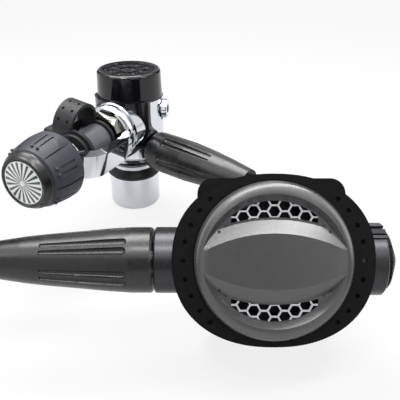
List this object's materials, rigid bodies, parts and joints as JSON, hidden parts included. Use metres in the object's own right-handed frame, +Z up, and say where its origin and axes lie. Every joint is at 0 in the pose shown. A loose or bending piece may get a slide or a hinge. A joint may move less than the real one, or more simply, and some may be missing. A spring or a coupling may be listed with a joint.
{
  "type": "scuba regulator set",
  "caption": "Scuba regulator set: a chromed yoke first stage standing on its cap, joined by a looped hose to an oval second stage that lies face up on its mouthpiece.",
  "frame": {"origin": "middle of the first stage's foot, on the surface that the set lies on", "axes": "+X to the right, along the second stage's air-hose axis; +Y away from the second stage's face; +Z up along the first stage"},
  "size_m": [0.2744, 0.219, 0.1],
  "materials": {
    "chrome_brass": "mirror-bright plated brass",
    "bare_brass": "machined",
    "stainless": "turned and brushed",
    "gloss_black": "moulded, glossy",
    "matte_black": "moulded, fine matte grain",
    "cover_grey": "satin grey",
    "grille_grey": "satin light grey",
    "collar_grey": "brushed, dark grey",
    "knob_rubber": "soft-touch charcoal",
    "badge_white": "white, printed with radial marks",
    "black_rubber": "satin",
    "plug_grey": "moulded grey",
    "silicone": "black, smooth",
    "seat_plastic": "ivory",
    "filter_bronze": "sintered"
  },
  "bodies": {
    "first_stage_and_hose": {"first_stage_body": "chrome_brass", "inner_cap": "bare_brass", "top_cover": "gloss_black", "top_cover_disc": "gloss_black", "lower_cap": "chrome_brass", "bumper_ring": "black_rubber", "valve_seat": "seat_plastic", "port_plugs": "chrome_brass", "port_orings": "black_rubber", "yoke": "chrome_brass", "yoke_retainer": "chrome_brass", "inlet_filter": "filter_bronze", "filter_clip": "stainless", "yoke_sleeve": "black_rubber", "dust_cap_plug": "plug_grey", "dust_cap_disc": "black_rubber", "dust_cap_strap": "black_rubber", "hose_fitting": "chrome_brass", "hose_boot_first": "black_rubber", "hose": "black_rubber", "hose_boot_second": "black_rubber", "inlet_nut": "chrome_brass", "piston_spring": "stainless"},
    "piston": {"piston": "stainless", "piston_oring": "black_rubber"},
    "clamp_pad": {"screw_tip": "bare_brass"},
    "knob": {"yoke_screw": "stainless", "yoke_knob": "knob_rubber", "knob_rim": "gloss_black", "knob_badge": "badge_white"},
    "second_stage": {"second_case": "matte_black", "bezel": "matte_black", "diaphragm_cover": "matte_black", "diaphragm": "silicone", "valve_barrel": "chrome_brass", "orifice": "bare_brass", "inlet_collar": "collar_grey", "knob_collar": "collar_grey", "exhaust_tee": "matte_black", "exhaust_valve": "silicone", "mouthpiece": "black_rubber", "mouthpiece_tie": "matte_black"},
    "purge": {"purge_cover": "cover_grey", "cover_grille": "grille_grey"},
    "plate": {"diaphragm_plate": "stainless"},
    "lever": {"demand_lever": "stainless"},
    "poppet": {"poppet": "seat_plastic", "poppet_spring": "stainless"},
    "adjuster": {"adjust_screw": "bare_brass", "adjust_knob": "matte_black", "adjust_tip": "collar_grey"}
  },
  "joints": [
    {"name": "second_stage_swivel", "type": "hinge", "parent": "first_stage_and_hose", "child": "second_stage", "pos_m": [0.0803, -0.15879, 0.0526], "axis": [1, 0, 0], "continuous": true},
    {"name": "purge_press", "type": "slide", "parent": "second_stage", "child": "purge", "axis": [0, 0.8829, -0.4695], "range_m": [0, 0.0022], "stiffness_N_per_m": 2500, "springref_m": -0.0006},
    {"name": "plate_press", "type": "slide", "parent": "second_stage", "child": "plate", "axis": [0, 0.8829, -0.4695], "range_m": [0, 0.0022]},
    {"name": "lever_tilt", "type": "hinge", "parent": "second_stage", "child": "lever", "pos_m": [0.0883, -0.16312, 0.0549], "axis": [0, -0.4695, -0.8829], "range_deg": [0, 7.2]},
    {"name": "poppet_slide", "type": "slide", "parent": "second_stage", "child": "poppet", "axis": [1, 0, 0], "range_m": [0, 0.0005]},
    {"name": "effort_knob_turn", "type": "hinge", "parent": "second_stage", "child": "adjuster", "pos_m": [0.1303, -0.15879, 0.0526], "axis": [1, 0, 0], "range_deg": [0, 540]},
    {"name": "yoke_knob_turn", "type": "hinge", "parent": "clamp_pad", "child": "knob", "pos_m": [-0.03875, -0.08123, 0.064], "axis": [-0.4305, -0.9026, 0], "range_deg": [0, 1080]},
    {"name": "yoke_screw_feed", "type": "slide", "parent": "first_stage_and_hose", "child": "clamp_pad", "axis": [-0.4305, -0.9026, 0], "range_m": [0, 0.006]},
    {"name": "piston_stroke", "type": "slide", "parent": "first_stage_and_hose", "child": "piston", "axis": [0, 0, -1], "range_m": [0, 0.0012], "stiffness_N_per_m": 20000, "springref_m": -0.0005, "deforming": ["piston_spring"]}
  ],
  "couplings": [
    {"joint": "yoke_screw_feed", "follows": "yoke_knob_turn", "m_per_rad": 0.00031831},
    {"joint": "plate_press", "follows": "purge_press", "ratio": 1},
    {"joint": "lever_tilt", "follows": "purge_press", "rad_per_m": 55.5},
    {"joint": "poppet_slide", "follows": "purge_press", "ratio": 0.2227}
  ]
}
